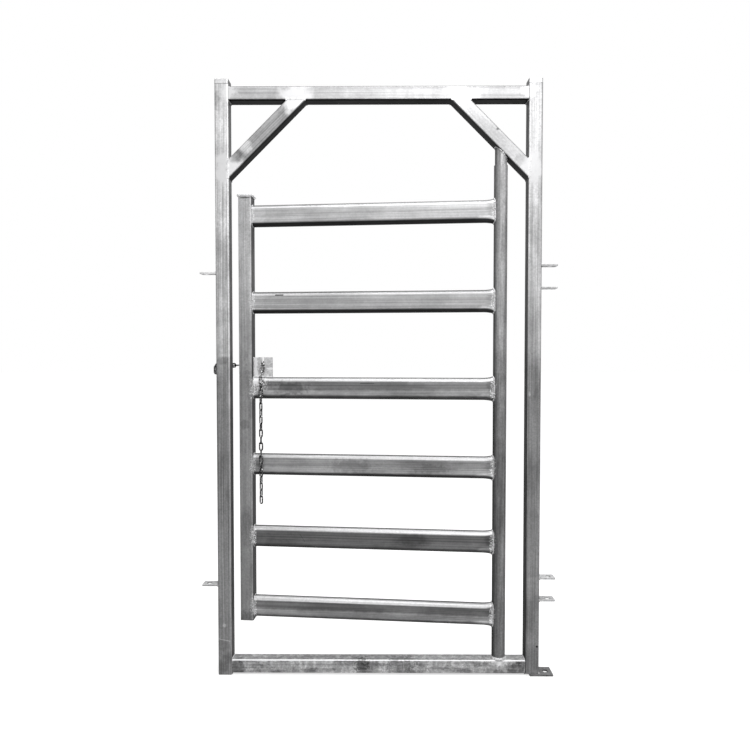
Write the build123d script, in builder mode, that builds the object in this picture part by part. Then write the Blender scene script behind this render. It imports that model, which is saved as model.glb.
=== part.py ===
from build123d import *
import math
import os

# Stock-yard pedestrian gate: a welded frame of square tube and a leaf of oval rails hung inside it.
# Millimetres, +Z up. The origin is on the ground, midway between the posts, in the frame's mid-plane.
# The front, from which the leaf stands slightly open to the back, faces -Y.

# Square tube of the frame and of the latch stile
tube = 50.0
tube_wall = 3.0
tube_radius = 6.0
bore_corner = 2.0

# Frame
frame_width = 1160.0
bar_top = 2107.0
post_rise = 7.5
brace_leg = 273.0
vent_hole = 8.0
vent_inset = 8.0
vent_height = 106.0

# Post caps: a bevelled head as wide as the post, on a hollow plug that slides into the tube
cap_height = 20.0
cap_wall = 3.0
cap_bevel_height = 3.0
cap_bevel_width = 5.0
plug_depth = 22.0
plug_gap = 0.3
plug_corner = 3.0

# Foot plate under the right post
foot_length = 85.0
foot_depth = 60.0
foot_thickness = 6.0
foot_reach = 51.0
peg_hole = 20.0
peg_reach = 28.0

# Lugs that pin the frame to the panels beside it
lug_length = 58.0
lug_depth = 42.0
lug_thickness = 5.0
lug_corner = 3.0
pin_hole = 20.0
pin_reach = 35.0
pair_spacing = 80.0
pair_heights = (312.0, 1438.0)
lug_offset = 13.0

# Hinge: the leaf's pipe turns on two stubs of the next smaller pipe
hinge_inset = 93.0
pipe_diameter = 48.3
pipe_wall = 2.6
stub_clearance = 0.35
stub_wall = 3.2
stub_insert = 100.0
pipe_foot_gap = 8.0
pipe_head_gap = 44.0
turning_gap = 0.3
collar_toe = 4.35
collar_flats = 24

# Leaf
ajar_angle = 5.15
latch_gap = 11.0
rail_height = 80.0
rail_depth = 40.0
rail_wall = 2.0
lowest_rail = 215.0
rail_spacings = (265.0, 271.0, 285.0, 316.0, 320.0)
crimp_length = 36.0
crimp_spread = 4.5
crimp_squeeze = 6.0
crimp_bite = 6.0
crimp_flats = 8
stile_tail = 10.0
stile_head = 33.0
stile_cap_overhang = 1.0
stile_cap_thickness = 4.0

# Latch plate, on top of the rail that stands fourth from the ground
latch_rail = 3
plate_width = 71.0
plate_height = 74.0
plate_thickness = 6.0
slot_width = 7.0
slot_depth = 32.0

# Chain: wire with a few flat sides
wire = 5.0
wire_sides = 8
link_inside_length = 24.9
link_inside_width = 7.5
link_slack = 0.3
anchor_drop = 7.05
run_clearance = 0.85
tail_links = 17
over_rail_leans = (12.0, 35.0, 18.0)
behind_stile_turn = 75.0
stile_clearance = 1.6
post_end_turns = (90.0, 80.0, 85.0)

# Places worked out from the sizes above
post_face = frame_width / 2
post_inner = post_face - tube
post_middle = post_face - tube / 2
post_top = bar_top + post_rise
bar_middle = bar_top - tube / 2
bar_underside = bar_top - tube
sill_middle = foot_thickness + tube / 2
sill_top = foot_thickness + tube
hinge_x = post_inner - hinge_inset
pipe_radius = pipe_diameter / 2
stub_diameter = pipe_diameter - 2 * pipe_wall - 2 * stub_clearance
pipe_foot = sill_top + pipe_foot_gap
brace_under_at_hinge = bar_underside - brace_leg + hinge_inset
pipe_head = brace_under_at_hinge - pipe_head_gap
stile_outer = hinge_x + post_inner - latch_gap
stile_inner = stile_outer - tube
rail_centres = [lowest_rail + sum(rail_spacings[:count]) for count in range(len(rail_spacings) + 1)]
stile_foot = rail_centres[0] - rail_height / 2 - stile_tail
stile_top = rail_centres[-1] + rail_height / 2 + stile_head
crimp_height = rail_height + 2 * crimp_spread
plate_foot = rail_centres[latch_rail] + rail_height / 2
slot_u = stile_inner - plate_width / 2
slot_floor = plate_foot + plate_height - slot_depth

# The leaf's own frame: x runs from the hinge axis to the stile, y to the front, z up.
swing = math.radians(ajar_angle)
leaf = Plane(
    origin=(hinge_x, 0, 0),
    x_dir=(-math.cos(swing), math.sin(swing), 0),
    z_dir=(0, 0, 1),
)


def save(piece, name):
    """Label a finished piece and write its file."""
    piece.part.label = name
    export_step(piece.part, f"parts/{name}.step")


def leaf_direction(local):
    """Direction given in the leaf's own frame, turned to the gate's frame."""
    local = Vector(*local)
    return leaf.x_dir * local.X + leaf.y_dir * local.Y + leaf.z_dir * local.Z


def leaf_plane(origin, x_dir=(1, 0, 0), z_dir=(0, 0, 1)):
    """Plane given in the leaf's own frame, moved to the gate's frame."""
    return Plane(
        origin=leaf.from_local_coords(Vector(*origin)),
        x_dir=leaf_direction(x_dir),
        z_dir=leaf_direction(z_dir),
    )


def leaf_section(along, height):
    """Plane across the leaf at a distance from the hinge axis: x to the front, y up."""
    return leaf_plane((along, 0, height), x_dir=(0, 1, 0), z_dir=(1, 0, 0))


def square_tube(start, length):
    """Square tube with rounded corners along the normal of its start plane."""
    inside = tube - 2 * tube_wall
    with BuildSketch() as bore:
        Rectangle(inside, inside)
        chamfer(bore.vertices(), bore_corner)
    with BuildPart() as body:
        with BuildSketch(start):
            RectangleRounded(tube, tube, tube_radius)
            add(bore.sketch, mode=Mode.SUBTRACT)
        extrude(amount=length)
    return body


def round_tube(foot, head, diameter, wall):
    """Upright round tube on the hinge axis."""
    with BuildPart() as body:
        with BuildSketch(Plane.XY.offset(foot)):
            with Locations((hinge_x, 0)):
                Circle(diameter / 2)
                Circle(diameter / 2 - wall, mode=Mode.SUBTRACT)
        extrude(amount=head - foot)
    return body


def make_post(side, foot):
    """One post of the frame: side is -1 for the left one and 1 for the right one."""
    return square_tube(Plane(origin=(side * post_middle, 0, foot)), post_top - foot)


def make_right_post():
    """Right post, with the small hole that let the zinc drain near its foot."""
    post = make_post(1, foot_thickness)
    with BuildPart() as body:
        add(post.part)
        with BuildSketch(Plane(origin=(0, -tube / 2, 0), x_dir=(1, 0, 0), z_dir=(0, -1, 0))):
            with Locations((post_face - vent_inset, vent_height)):
                Circle(vent_hole / 2)
        extrude(amount=-2 * tube_wall, mode=Mode.SUBTRACT)
    return body


def make_post_cap(side):
    """Post cap: bevelled head that sits on the tube's end, with a hollow plug inside the tube."""
    seat = Plane(origin=(side * post_middle, 0, post_top))
    plug = tube - 2 * tube_wall - 2 * plug_gap
    hollow = plug - 2 * cap_wall
    with BuildPart() as body:
        with BuildSketch(seat):
            Rectangle(tube, tube)
        extrude(amount=cap_height)
        chamfer(body.faces().sort_by(Axis.Z)[-1].edges(), cap_bevel_height, cap_bevel_width)
        with BuildSketch(seat):
            RectangleRounded(tube, tube, tube_radius)
        extrude(amount=cap_height, mode=Mode.INTERSECT)
        with BuildSketch(seat) as plug_outline:
            Rectangle(plug, plug)
            chamfer(plug_outline.vertices(), plug_corner)
        extrude(amount=-plug_depth)
        with BuildSketch(seat.offset(-plug_depth)):
            Rectangle(hollow, hollow)
        extrude(amount=plug_depth + cap_height - cap_bevel_height - cap_wall, mode=Mode.SUBTRACT)
    return body


def make_brace(side):
    """Corner brace at 45 degrees, mitred to the top bar's underside and the post's inner face."""
    to_corner = brace_leg / 2 - tube / math.sqrt(8)
    middle = Vector(side * (post_inner - to_corner), 0, bar_underside - to_corner)
    slope = Vector(side, 0, -1).normalized()
    start = Plane(origin=middle - slope * brace_leg, x_dir=(0, 1, 0), z_dir=slope)
    long_brace = square_tube(start, 2 * brace_leg)
    with BuildPart() as body:
        add(long_brace.part)
        split(bisect_by=Plane.XY.offset(bar_underside), keep=Keep.BOTTOM)
        split(bisect_by=Plane(origin=(side * post_inner, 0, 0), z_dir=(-side, 0, 0)), keep=Keep.TOP)
    return body


def make_foot_plate():
    """Plate welded under the right post, with a peg hole in the part that sticks out."""
    with BuildPart() as body:
        with BuildSketch():
            with Locations((post_face + foot_reach - foot_length / 2, 0)):
                Rectangle(foot_length, foot_depth)
            with Locations((post_face + peg_reach, 0)):
                Circle(peg_hole / 2, mode=Mode.SUBTRACT)
        extrude(amount=foot_thickness)
    return body


def make_lug(side, height):
    """Flat ear on a post's outer face, with a hole for an upright pin."""
    with BuildPart() as body:
        with BuildSketch(Plane.XY.offset(height - lug_thickness / 2)):
            with Locations((side * (post_face + lug_length / 2), 0)):
                Rectangle(lug_length, lug_depth)
            with Locations((side * (post_face + pin_reach), 0)):
                Circle(pin_hole / 2, mode=Mode.SUBTRACT)
        extrude(amount=lug_thickness)
        outer_end = body.faces().sort_by(Axis.X)[-1 if side > 0 else 0]
        chamfer(outer_end.edges().filter_by(Axis.Z), lug_corner)
    return body


def make_top_stub():
    """Top hinge stub, cut at 45 degrees against the underside of the right brace."""
    foot = pipe_head - stub_insert
    blank = round_tube(foot, brace_under_at_hinge + stub_diameter, stub_diameter, stub_wall)
    underside = Plane(origin=(hinge_x, 0, brace_under_at_hinge), z_dir=(-1, 0, -1))
    with BuildPart() as body:
        add(blank.part)
        split(bisect_by=underside, keep=Keep.TOP)
    return body


def make_stub_collar():
    """Weld collar round the bottom stub's foot, whose flat crown carries the pipe."""
    height = pipe_foot_gap - turning_gap
    slope = math.degrees(math.atan2(collar_toe, height))
    foot = Plane(origin=(hinge_x, 0, sill_top))
    with BuildPart() as body:
        with BuildSketch(foot):
            RegularPolygon(pipe_radius + collar_toe, collar_flats)
        extrude(amount=height, taper=slope)
        with BuildSketch(foot):
            Circle(stub_diameter / 2)
        extrude(amount=height, mode=Mode.SUBTRACT)
    return body


def make_stile():
    """Latch stile, a square tube open at its foot."""
    start = leaf_plane((stile_outer - tube / 2, 0, stile_foot))
    return square_tube(start, stile_top - stile_foot)


def make_stile_cap():
    """Plate welded over the stile's top, a little larger than the tube."""
    size = tube + 2 * stile_cap_overhang
    with BuildPart() as body:
        with BuildSketch(leaf_plane((stile_outer - tube / 2, 0, stile_top))):
            RectangleRounded(size, size, tube_radius)
        extrude(amount=stile_cap_thickness)
    return body


def oval_corners(tall, deep):
    """Corners of an upright oval whose rounded ends are pressed into flats."""
    radius = deep / 2
    corners = []
    for middle, first in ((tall / 2 - radius, 0), (radius - tall / 2, 180)):
        for count in range(crimp_flats + 1):
            turn = math.radians(first + 180 * count / crimp_flats)
            corners.append((radius * math.cos(turn), middle + radius * math.sin(turn)))
    return corners


def make_crimp(height, inset):
    """Crimped end of a rail: it spreads up and down, and two sloping dies press its sides together."""
    start = pipe_radius + crimp_length
    run = crimp_length + crimp_bite
    side = rail_depth / 2 - inset
    with BuildPart() as body:
        for rise in (crimp_spread, -crimp_spread):
            with BuildSketch(leaf_section(start, height)):
                with BuildLine():
                    Polyline(*oval_corners(rail_height - 2 * inset, 2 * side), close=True)
                make_face()
            extrude(amount=math.hypot(run, rise), dir=leaf_direction((-run, 0, rise)))
        with BuildSketch(leaf_plane((start, 0, height - crimp_height))):
            with BuildLine():
                end = side - crimp_squeeze
                Polyline((0, side), (-run, end), (-run, -end), (0, -side), close=True)
            make_face()
        extrude(amount=2 * crimp_height, mode=Mode.INTERSECT)
    return body


def make_rail(height):
    """Oval rail: square-cut at the stile, crimped and saddle-cut round the hinge pipe."""
    start = pipe_radius + crimp_length
    crimps = [make_crimp(height, inset) for inset in (0, rail_wall)]
    with BuildPart() as body:
        for inset, mode in ((0, Mode.ADD), (rail_wall, Mode.SUBTRACT)):
            with BuildSketch(leaf_section(start, height)):
                SlotOverall(rail_height - 2 * inset, rail_depth - 2 * inset, rotation=90)
            extrude(amount=stile_inner - start, mode=mode)
        add(crimps[0].part)
        add(crimps[1].part, mode=Mode.SUBTRACT)
        with BuildSketch(leaf_plane((0, 0, height - crimp_height))):
            Circle(pipe_radius)
        extrude(amount=2 * crimp_height, mode=Mode.SUBTRACT)
    return body


def make_latch_plate():
    """Plate in the leaf's mid-plane, welded to stile and rail, with a slot that is open at the top."""
    face = leaf_plane((slot_u, plate_thickness / 2, plate_foot), z_dir=(0, 1, 0))
    with BuildPart() as body:
        with BuildSketch(face):
            with Locations((0, -plate_height / 2)):
                Rectangle(plate_width, plate_height)
            round_end = plate_height - slot_depth + slot_width / 2
            with Locations((0, -(round_end + plate_height) / 2)):
                Rectangle(slot_width, plate_height - round_end, mode=Mode.SUBTRACT)
            with Locations((0, -round_end)):
                Circle(slot_width / 2, mode=Mode.SUBTRACT)
        extrude(amount=-plate_thickness)
    return body


# Chain geometry: a link starts at the middle of its first end's wire and runs along +X.
bend = (link_inside_width + wire) / 2
link_span = link_inside_length + wire
hook = wire + link_slack
nest = bend - hook
slot_z = slot_floor + link_slack + wire / 2 + bend
anchor_height = slot_z - anchor_drop
anchor_depth = tube / 2 + run_clearance + bend + wire / 2 + hook - link_span


def make_link():
    """One chain link in the XY plane: sided wire along a long octagon, so that it has few facets."""
    with BuildPart() as body:
        with BuildSketch(mode=Mode.PRIVATE) as outline:
            with Locations((link_span / 2, 0)):
                Rectangle(link_span, 2 * bend)
            chamfer(outline.vertices(), bend - bend * math.tan(math.pi / 8))
        with BuildSketch(Plane(origin=(link_span / 2, bend, 0), z_dir=(1, 0, 0))):
            RegularPolygon(wire / 2, wire_sides, major_radius=False, rotation=180 / wire_sides)
        sweep(path=outline.wire(), transition=Transition.RIGHT)
    return body


def link_places(start, headings, normal):
    """Places of links hooked one after another: start point, heading and normal of each.

    Each link is turned a quarter about the chain's line against the one before it. Where the chain
    bends in a link's own plane, the next link slides round its end. Where it bends across that plane,
    the next link swings round the end's wire.
    """
    places = []
    point = Vector(*start)
    normal = Vector(*normal)
    for heading in headings:
        along = Vector(*heading).normalized()
        if places:
            last_point, last_along, last_normal = places[-1]
            in_plane = abs(along.dot(last_normal)) < 1e-6
            normal = last_normal.cross(along) if in_plane else last_normal.cross(last_along)
            end = last_point + last_along * link_span
            point = end - last_along * bend + along * nest if in_plane else end - along * hook
        places.append((point, along, normal))
    return places


def gate_planes(places):
    """Planes of links that are placed in the gate's frame."""
    return [Plane(origin=point, x_dir=along, z_dir=normal) for point, along, normal in places]


def leaf_planes(places):
    """Planes of links that are placed in the leaf's own frame."""
    return [leaf_plane(point, along, normal) for point, along, normal in places]


def make_chain(link, places):
    """Links at the given places, as separate solids of one piece."""
    with BuildPart() as body:
        with Locations(*places):
            add(link.part)
    return body


def flat_heading(degrees):
    """Level direction, turned from +X towards +Y."""
    return (math.cos(math.radians(degrees)), math.sin(math.radians(degrees)), 0)


os.makedirs("parts", exist_ok=True)

# Frame
left_post = make_post(-1, 0)
save(left_post, "left_post")
right_post = make_right_post()
save(right_post, "right_post")
for side, name in ((-1, "left_post_cap"), (1, "right_post_cap")):
    save(make_post_cap(side), name)
for middle, name in ((bar_middle, "top_bar"), (sill_middle, "sill")):
    end = Plane(origin=(-post_inner, 0, middle), x_dir=(0, 1, 0), z_dir=(1, 0, 0))
    save(square_tube(end, 2 * post_inner), name)
for side, name in ((-1, "left_brace"), (1, "right_brace")):
    save(make_brace(side), name)
save(make_foot_plate(), "foot_plate")
for middle, level in zip(pair_heights, ("lower", "upper")):
    save(make_lug(-1, middle + lug_offset), f"left_{level}_lug")
    save(make_lug(1, middle + pair_spacing / 2), f"right_{level}_lug_top")
    save(make_lug(1, middle - pair_spacing / 2), f"right_{level}_lug_bottom")
save(round_tube(sill_top, pipe_foot + stub_insert, stub_diameter, stub_wall), "bottom_hinge_stub")
save(make_stub_collar(), "bottom_stub_collar")
save(make_top_stub(), "top_hinge_stub")

# Leaf
save(round_tube(pipe_foot, pipe_head, pipe_diameter, pipe_wall), "hinge_pipe")
save(make_stile(), "latch_stile")
save(make_stile_cap(), "stile_cap")
for number, height in enumerate(reversed(rail_centres), start=1):
    save(make_rail(height), f"rail_{number}")
save(make_latch_plate(), "latch_plate")

# Chain on the post: the end link is tacked to the outer face, the run goes round the back of the post,
# and the loose end drops when the chain is unhooked.
link = make_link()
anchor = (-post_face - bend - wire / 2, anchor_depth, anchor_height)
end_link = link_places(anchor, [(0, 0, -1)], (0, 1, 0))
save(make_chain(link, gate_planes(end_link)), "chain_anchor_link")
round_post = [(0, 1, 0), (1, 0, 0), (1, 0, 0)]
headings = round_post + [flat_heading(turn) for turn in post_end_turns]
post_chain = link_places(Vector(*anchor) - Vector(0, hook, 0), headings, (1, 0, 0))
loose_from = len(round_post) + 1
save(make_chain(link, gate_planes(post_chain[:loose_from])), "post_chain_run")
save(make_chain(link, gate_planes(post_chain[loose_from:])), "post_chain_end")

# Chain on the leaf: one link stands in the slot.
# From it the chain goes behind the stile, and over the rail.
slot_back = (slot_u, link_span / 2, slot_z)
bend_depth = link_span / 2 + (link_span - bend - hook) * math.sin(math.radians(behind_stile_turn))
run_depth = tube / 2 + stile_clearance + bend + wire / 2
easing = math.degrees(math.asin((run_depth - bend_depth) / (link_span + nest)))
headings = [(0, -1, 0)] + [flat_heading(-turn) for turn in (behind_stile_turn, easing, 0, 0)]
behind_stile = link_places(slot_back, headings, (1, 0, 0))
front_start = (slot_u, link_span / 2 - bend, slot_z - nest)
leans = [math.radians(lean) for lean in over_rail_leans]
falls = [(0, math.sin(lean), -math.cos(lean)) for lean in leans]
first_normal = Vector(1, 0, 0).cross(Vector(*falls[0]))
front_chain = link_places(front_start, falls + [(0, 0, -1)] * (tail_links + 1), first_normal)
over_rail = front_chain[: len(falls)]
tail = front_chain[len(falls) :]
save(make_chain(link, leaf_planes(behind_stile + over_rail)), "slot_chain")

# Tail: the first link swings out from the rails, and the rest sways beneath it.
save(make_chain(link, leaf_planes(tail[:1])), "tail_link")
save(make_chain(link, leaf_planes(tail[1:])), "chain_tail")

# Where the joints turn
drop_point = post_chain[loose_from][0] + post_chain[loose_from][1] * hook
swing_point = leaf.from_local_coords(tail[0][0] + tail[0][1] * hook)
sway_point = leaf.from_local_coords(tail[1][0] + tail[1][1] * hook)
print("hinge axis x", hinge_x, "pipe", pipe_foot, pipe_head, "stile", stile_foot, stile_top)
print("rail centres", rail_centres, "slot", slot_u, slot_floor, "slot link", slot_z)
print("tail swing point", swing_point, "tail sway point", sway_point)
print("loose chain drop point", drop_point)
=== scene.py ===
# %% [markdown]
# # A galvanised yard gate, finished in Blender
# The solid model of the gate comes in as a fixed frame. This lesson gives each piece its zinc finish,
# forms the crimped rails, lays the weld beads, bends round wire into chain links, and lights the gate
# like a catalogue picture. Everything is in metres, with the ground at zero and the front of the gate
# facing minus Y.

# %% Load the solid model and read the boxes of its pieces
import bpy
import bmesh
import math
import numpy as np
from functools import partial
from mathutils import Matrix, Vector


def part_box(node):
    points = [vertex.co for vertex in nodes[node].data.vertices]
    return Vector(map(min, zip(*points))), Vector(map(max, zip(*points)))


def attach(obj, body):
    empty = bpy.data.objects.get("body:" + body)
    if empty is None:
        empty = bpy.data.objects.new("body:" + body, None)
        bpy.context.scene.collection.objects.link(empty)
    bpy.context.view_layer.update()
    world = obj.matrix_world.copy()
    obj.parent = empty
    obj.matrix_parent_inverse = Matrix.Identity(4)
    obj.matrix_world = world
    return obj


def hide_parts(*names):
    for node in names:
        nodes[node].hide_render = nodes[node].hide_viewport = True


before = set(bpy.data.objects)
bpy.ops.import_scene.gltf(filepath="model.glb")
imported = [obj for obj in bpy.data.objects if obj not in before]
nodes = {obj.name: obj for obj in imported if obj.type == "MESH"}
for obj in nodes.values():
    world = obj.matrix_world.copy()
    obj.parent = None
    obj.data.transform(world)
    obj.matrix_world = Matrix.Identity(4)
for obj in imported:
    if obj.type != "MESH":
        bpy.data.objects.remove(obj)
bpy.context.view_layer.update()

# %% [markdown]
# ## The camera
# The photograph was taken from a little over two metres away, about chest high, and almost level. The
# focal length and the place were worked out from the posts, bars and rails. A matrix of three axes sets
# the camera directly, which is exact, where a tracking constraint would only aim it.

# %% Camera
eye = Vector((0.00293, -2.3349, 1.1571))
pitch = 0.0303
yaw = -0.0065
focal_pixels = 647.63
picture_side = 750
sensor_width = 36
sight = Vector((math.sin(yaw) * math.cos(pitch), math.cos(yaw) * math.cos(pitch), -math.sin(pitch)))
aside = Vector((math.cos(yaw), -math.sin(yaw), 0))
camera_data = bpy.data.cameras.new("gate_camera")
camera_data.sensor_width = sensor_width
camera_data.lens = sensor_width * focal_pixels / picture_side
camera = bpy.data.objects.new("gate_camera", camera_data)
bpy.context.scene.collection.objects.link(camera)
axes = Matrix((aside, aside.cross(sight), -sight)).transposed()
camera.matrix_world = Matrix.Translation(eye) @ axes.to_4x4()
bpy.context.scene.camera = camera
print("camera at", tuple(eye), "lens", round(camera_data.lens, 2))

# %% [markdown]
# ## Sizes from the solid model
# Marks and welds belong at the edges and joints of the gate. Typed-in places would stay behind if the
# gate changed, so they are read from the boxes of the pieces. The leaf stands a few degrees open, so
# its rails don't run along X. One matrix turns a point measured along the rails, towards the front and
# up, into the gate's frame.

# %% Sizes of the frame
post_low, post_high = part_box("right_post")
post_inner = post_low.x
post_outer = post_high.x
tube = post_outer - post_inner
front = post_low.y
bar_low, bar_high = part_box("top_bar")
sill_low, sill_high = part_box("sill")
bar_under = bar_low.z
brace_leg = bar_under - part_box("right_brace")[0].z
brace_cut = tube * math.sqrt(2)
print("square tube", round(tube, 4), "brace leg", round(brace_leg, 4), "cut", round(brace_cut, 4))

# %% The leaf's own frame
ajar = math.radians(5.15)
pipe_low, pipe_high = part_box("hinge_pipe")
pipe_radius = (pipe_high.x - pipe_low.x) / 2
hinge = Vector(((pipe_low.x + pipe_high.x) / 2, 0, 0))
leaf_along = Vector((-math.cos(ajar), math.sin(ajar), 0))
leaf_front = Vector((-math.sin(ajar), -math.cos(ajar), 0))
leaf_matrix = Matrix((leaf_along, leaf_front, Vector((0, 0, 1)))).transposed().to_4x4()
leaf_matrix.translation = hinge


def in_leaf(u, v, w):
    """A point of the leaf's own frame: along the rails, to the front, up."""
    return leaf_matrix @ Vector((u, v, w))


rail_heights = [sum(corner.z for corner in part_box(f"rail_{number}")) / 2 for number in range(1, 7)]
stile_low, stile_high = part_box("latch_stile")
stile_middle = ((stile_low + stile_high) / 2 - hinge).dot(leaf_along)
rail_end = stile_middle - tube / 2
print("rail heights", [round(height, 3) for height in rail_heights], "rails end at", round(rail_end, 4))

# %% [markdown]
# ## Node helpers
# Materials and Geometry Nodes trees are wired in code. One helper adds a node and fills its inputs,
# where an input may be a value or another node's output. Small helpers on top of it do arithmetic,
# easing and noise.

# %% Node helpers
def add_node(tree, kind, settings=None, **inputs):
    """A node of that kind. An input is given by name, or by number after an underscore, and takes a value or
    another node's output."""
    node = tree.nodes.new(kind)
    for key, value in (settings or {}).items():
        setattr(node, key, value)
    for key, value in inputs.items():
        socket = node.inputs[int(key[1:])] if key[0] == "_" else node.inputs[key.replace("_", " ")]
        if isinstance(value, bpy.types.NodeSocket):
            tree.links.new(value, socket)
        else:
            socket.default_value = value
    return node


def calc(tree, operation, first, second=0.0, third=0.0, clamp=False):
    """Output of one arithmetic step."""
    settings = {"operation": operation, "use_clamp": clamp}
    return add_node(tree, "ShaderNodeMath", settings, _0=first, _1=second, _2=third).outputs[0]


def times(tree, first, second):
    """Output of a product."""
    return calc(tree, "MULTIPLY", first, second)


def vector_calc(tree, operation, first, second=(0, 0, 0)):
    """The outputs, Vector and Value, of one step with vectors."""
    return add_node(tree, "ShaderNodeVectorMath", {"operation": operation}, _0=first, _1=second).outputs


def split_axes(tree, vector):
    """The outputs X, Y and Z of a vector."""
    return add_node(tree, "ShaderNodeSeparateXYZ", _0=vector).outputs


print("arithmetic helpers ready")

# %% Easing, blending and noise
def ease(tree, value, low, high, to_low=0.0, to_high=1.0):
    """Output that eases from to_low to to_high while the value goes from low to high."""
    settings = {"interpolation_type": "SMOOTHSTEP"}
    ranges = {"_1": low, "_2": high, "_3": to_low, "_4": to_high}
    return add_node(tree, "ShaderNodeMapRange", settings, _0=value, **ranges).outputs[0]


def blend_to(tree, amount, value, other):
    """Output that goes from value to other as the amount goes from 0 to 1."""
    return add_node(tree, "ShaderNodeMix", {"data_type": "FLOAT"}, _0=amount, _2=value, _3=other).outputs[0]


def tinted(tree, level, amount, factor):
    """The grey, times a factor where the amount is 1 and unchanged where it is 0."""
    return times(tree, level, blend_to(tree, amount, 1.0, factor))


def noise(tree, vector, scale, detail, roughness):
    """Output of a noise texture."""
    settings = {"Scale": scale, "Detail": detail, "Roughness": roughness}
    return add_node(tree, "ShaderNodeTexNoise", Vector=vector, **settings).outputs[0]


print("easing and noise helpers ready")

# %% Group helpers
FLOAT = "NodeSocketFloat"
VECTOR = "NodeSocketVector"


def start_group(name, inputs, outputs, kind="ShaderNodeTree"):
    """A node group with named sockets, what it is given, and what it has to put out."""
    group = bpy.data.node_groups.new(name, kind)
    for label, socket_type, value in inputs:
        socket = group.interface.new_socket(label, in_out="INPUT", socket_type=socket_type)
        if value is not None:
            socket.default_value = value
    for label, socket_type in outputs:
        group.interface.new_socket(label, in_out="OUTPUT", socket_type=socket_type)
    return group, group.nodes.new("NodeGroupInput").outputs, group.nodes.new("NodeGroupOutput").inputs


def put_out(group, made, **outputs):
    """Links values to the group's named outputs."""
    for label, value in outputs.items():
        group.links.new(value, made[label])
    print("group", group.name, "nodes:", len(group.nodes))


def use_group(tree, group, **inputs):
    """A placed node group's outputs."""
    return add_node(tree, "ShaderNodeGroup", {"node_tree": group}, **inputs).outputs


print("group helpers ready")

# %% [markdown]
# ## Zinc that has crystallised
# Hot zinc sets in flat crystals, called spangle, with paler and darker clouds where it ran. A Voronoi
# texture gives each crystal its own grey, and a noise gives the clouds. Both read Object coordinates,
# so they stay put.

# %% Zinc group
zinc_group, given, made = start_group(
    "zinc_spangle",
    [("Vector", VECTOR, None), ("Crystal Scale", FLOAT, 85.0), ("Cloud Scale", FLOAT, 6.0)],
    [("Shade", FLOAT), ("Grain", FLOAT), ("Height", FLOAT)],
)
crystal_share = 0.25
crystal = add_node(zinc_group, "ShaderNodeTexVoronoi", Vector=given["Vector"], Scale=given["Crystal Scale"])
crystal_grey = add_node(zinc_group, "ShaderNodeSeparateColor", Color=crystal.outputs["Color"]).outputs[0]
cloud = noise(zinc_group, given["Vector"], given["Cloud Scale"], 6.0, 0.62)
cloud_part = times(zinc_group, ease(zinc_group, cloud, 0.3, 0.7), 1 - crystal_share)
fine_grain = noise(zinc_group, given["Vector"], 150.0, 4.0, 0.7)
put_out(
    zinc_group, made,
    Shade=calc(zinc_group, "MULTIPLY_ADD", crystal_grey, crystal_share, cloud_part),
    Grain=ease(zinc_group, fine_grain, 0.32, 0.68),
    Height=calc(zinc_group, "ADD", crystal_grey, cloud),
)

# %% [markdown]
# ## Lines along the tube
# Tube is rolled from strip, and the zinc is wiped along it, so long thin streaks follow its length. A
# noise whose coordinates are squeezed across the tube and stretched along it draws them.

# %% Streak group
streak_group, given, made = start_group(
    "wiped_streaks",
    [("Vector", VECTOR, None), ("Fine", FLOAT, 110.0), ("Along", FLOAT, 2.0)],
    [("Streak", FLOAT), ("Height", FLOAT)],
)
squeeze = add_node(streak_group, "ShaderNodeCombineXYZ", X=given["Fine"], Y=given["Fine"], Z=given["Along"])
squeezed = vector_calc(streak_group, "MULTIPLY", given["Vector"], squeeze.outputs[0])["Vector"]
streak_lines = noise(streak_group, squeezed, 1.0, 5.0, 0.7)
put_out(streak_group, made, Streak=ease(streak_group, streak_lines, 0.34, 0.66), Height=streak_lines)

# %% [markdown]
# ## Smudges
# Hands, slings and stacking leave soft dark patches on the wiped zinc. They are longer along the tube
# than across it, so the noise behind them is stretched a little, and only its darker half shows.

# %% Smudge group
smudge_group, given, made = start_group(
    "handling_smudges", [("Vector", VECTOR, None), ("Scale", FLOAT, 9.0)], [("Smudge", FLOAT)]
)
smudge_stretch = (1.0, 1.0, 0.4)
longer = vector_calc(smudge_group, "MULTIPLY", given["Vector"], smudge_stretch)["Vector"]
patches = noise(smudge_group, longer, given["Scale"], 5.0, 0.6)
put_out(smudge_group, made, Smudge=ease(smudge_group, patches, 0.47, 0.62))

# %% [markdown]
# ## Weather and painted light
# Near the ground, splash and yard dirt dull the zinc, and the same fall of the grey also stands in for
# the light dropping off towards the foot, as painted shade. Rain washes what faces up clean of smudges,
# and those faces also get painted light, mostly a highlight. Undersides and the faces that look into the
# opening get painted shade, rounded corners and outward faces are painted paler or darker, and a rail
# gets a painted dark reflection along its crest. The group works these out from height and from the way
# a surface faces, so the marks belong to the gate and not to the camera.

# %% Weather and painted light group
weather_group, given, made = start_group(
    "yard_weather",
    [("Vector", VECTOR, None), ("Ground", FLOAT, 0.95), ("Clean", FLOAT, 1.8),
     ("Wash From", FLOAT, 0.2), ("Wash To", FLOAT, 0.9),
     ("Under From", FLOAT, -0.1), ("Under To", FLOAT, -0.75), ("Crest Lean", FLOAT, 0.0)],
    [(label, FLOAT) for label in ("Dull", "Under", "Inward", "Washed", "Corner", "Crest", "Outward")],
)
weather_calc = partial(calc, weather_group)
weather_ease = partial(ease, weather_group)
wave = 0.8
weather_place = split_axes(weather_group, given["Vector"])
patchy = noise(weather_group, given["Vector"], 3.0, 4.0, 0.6)
wavy = weather_calc("ADD", weather_place["Z"], weather_calc("MULTIPLY_ADD", patchy, wave, -wave / 2))
# Darker towards the ground: yard dirt, and painted shade for the light dropping off towards the foot.
dulled = add_node(weather_group, "ShaderNodeMapRange", _0=wavy, _1=given["Clean"], _2=given["Ground"])
print("weather group started")
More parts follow.
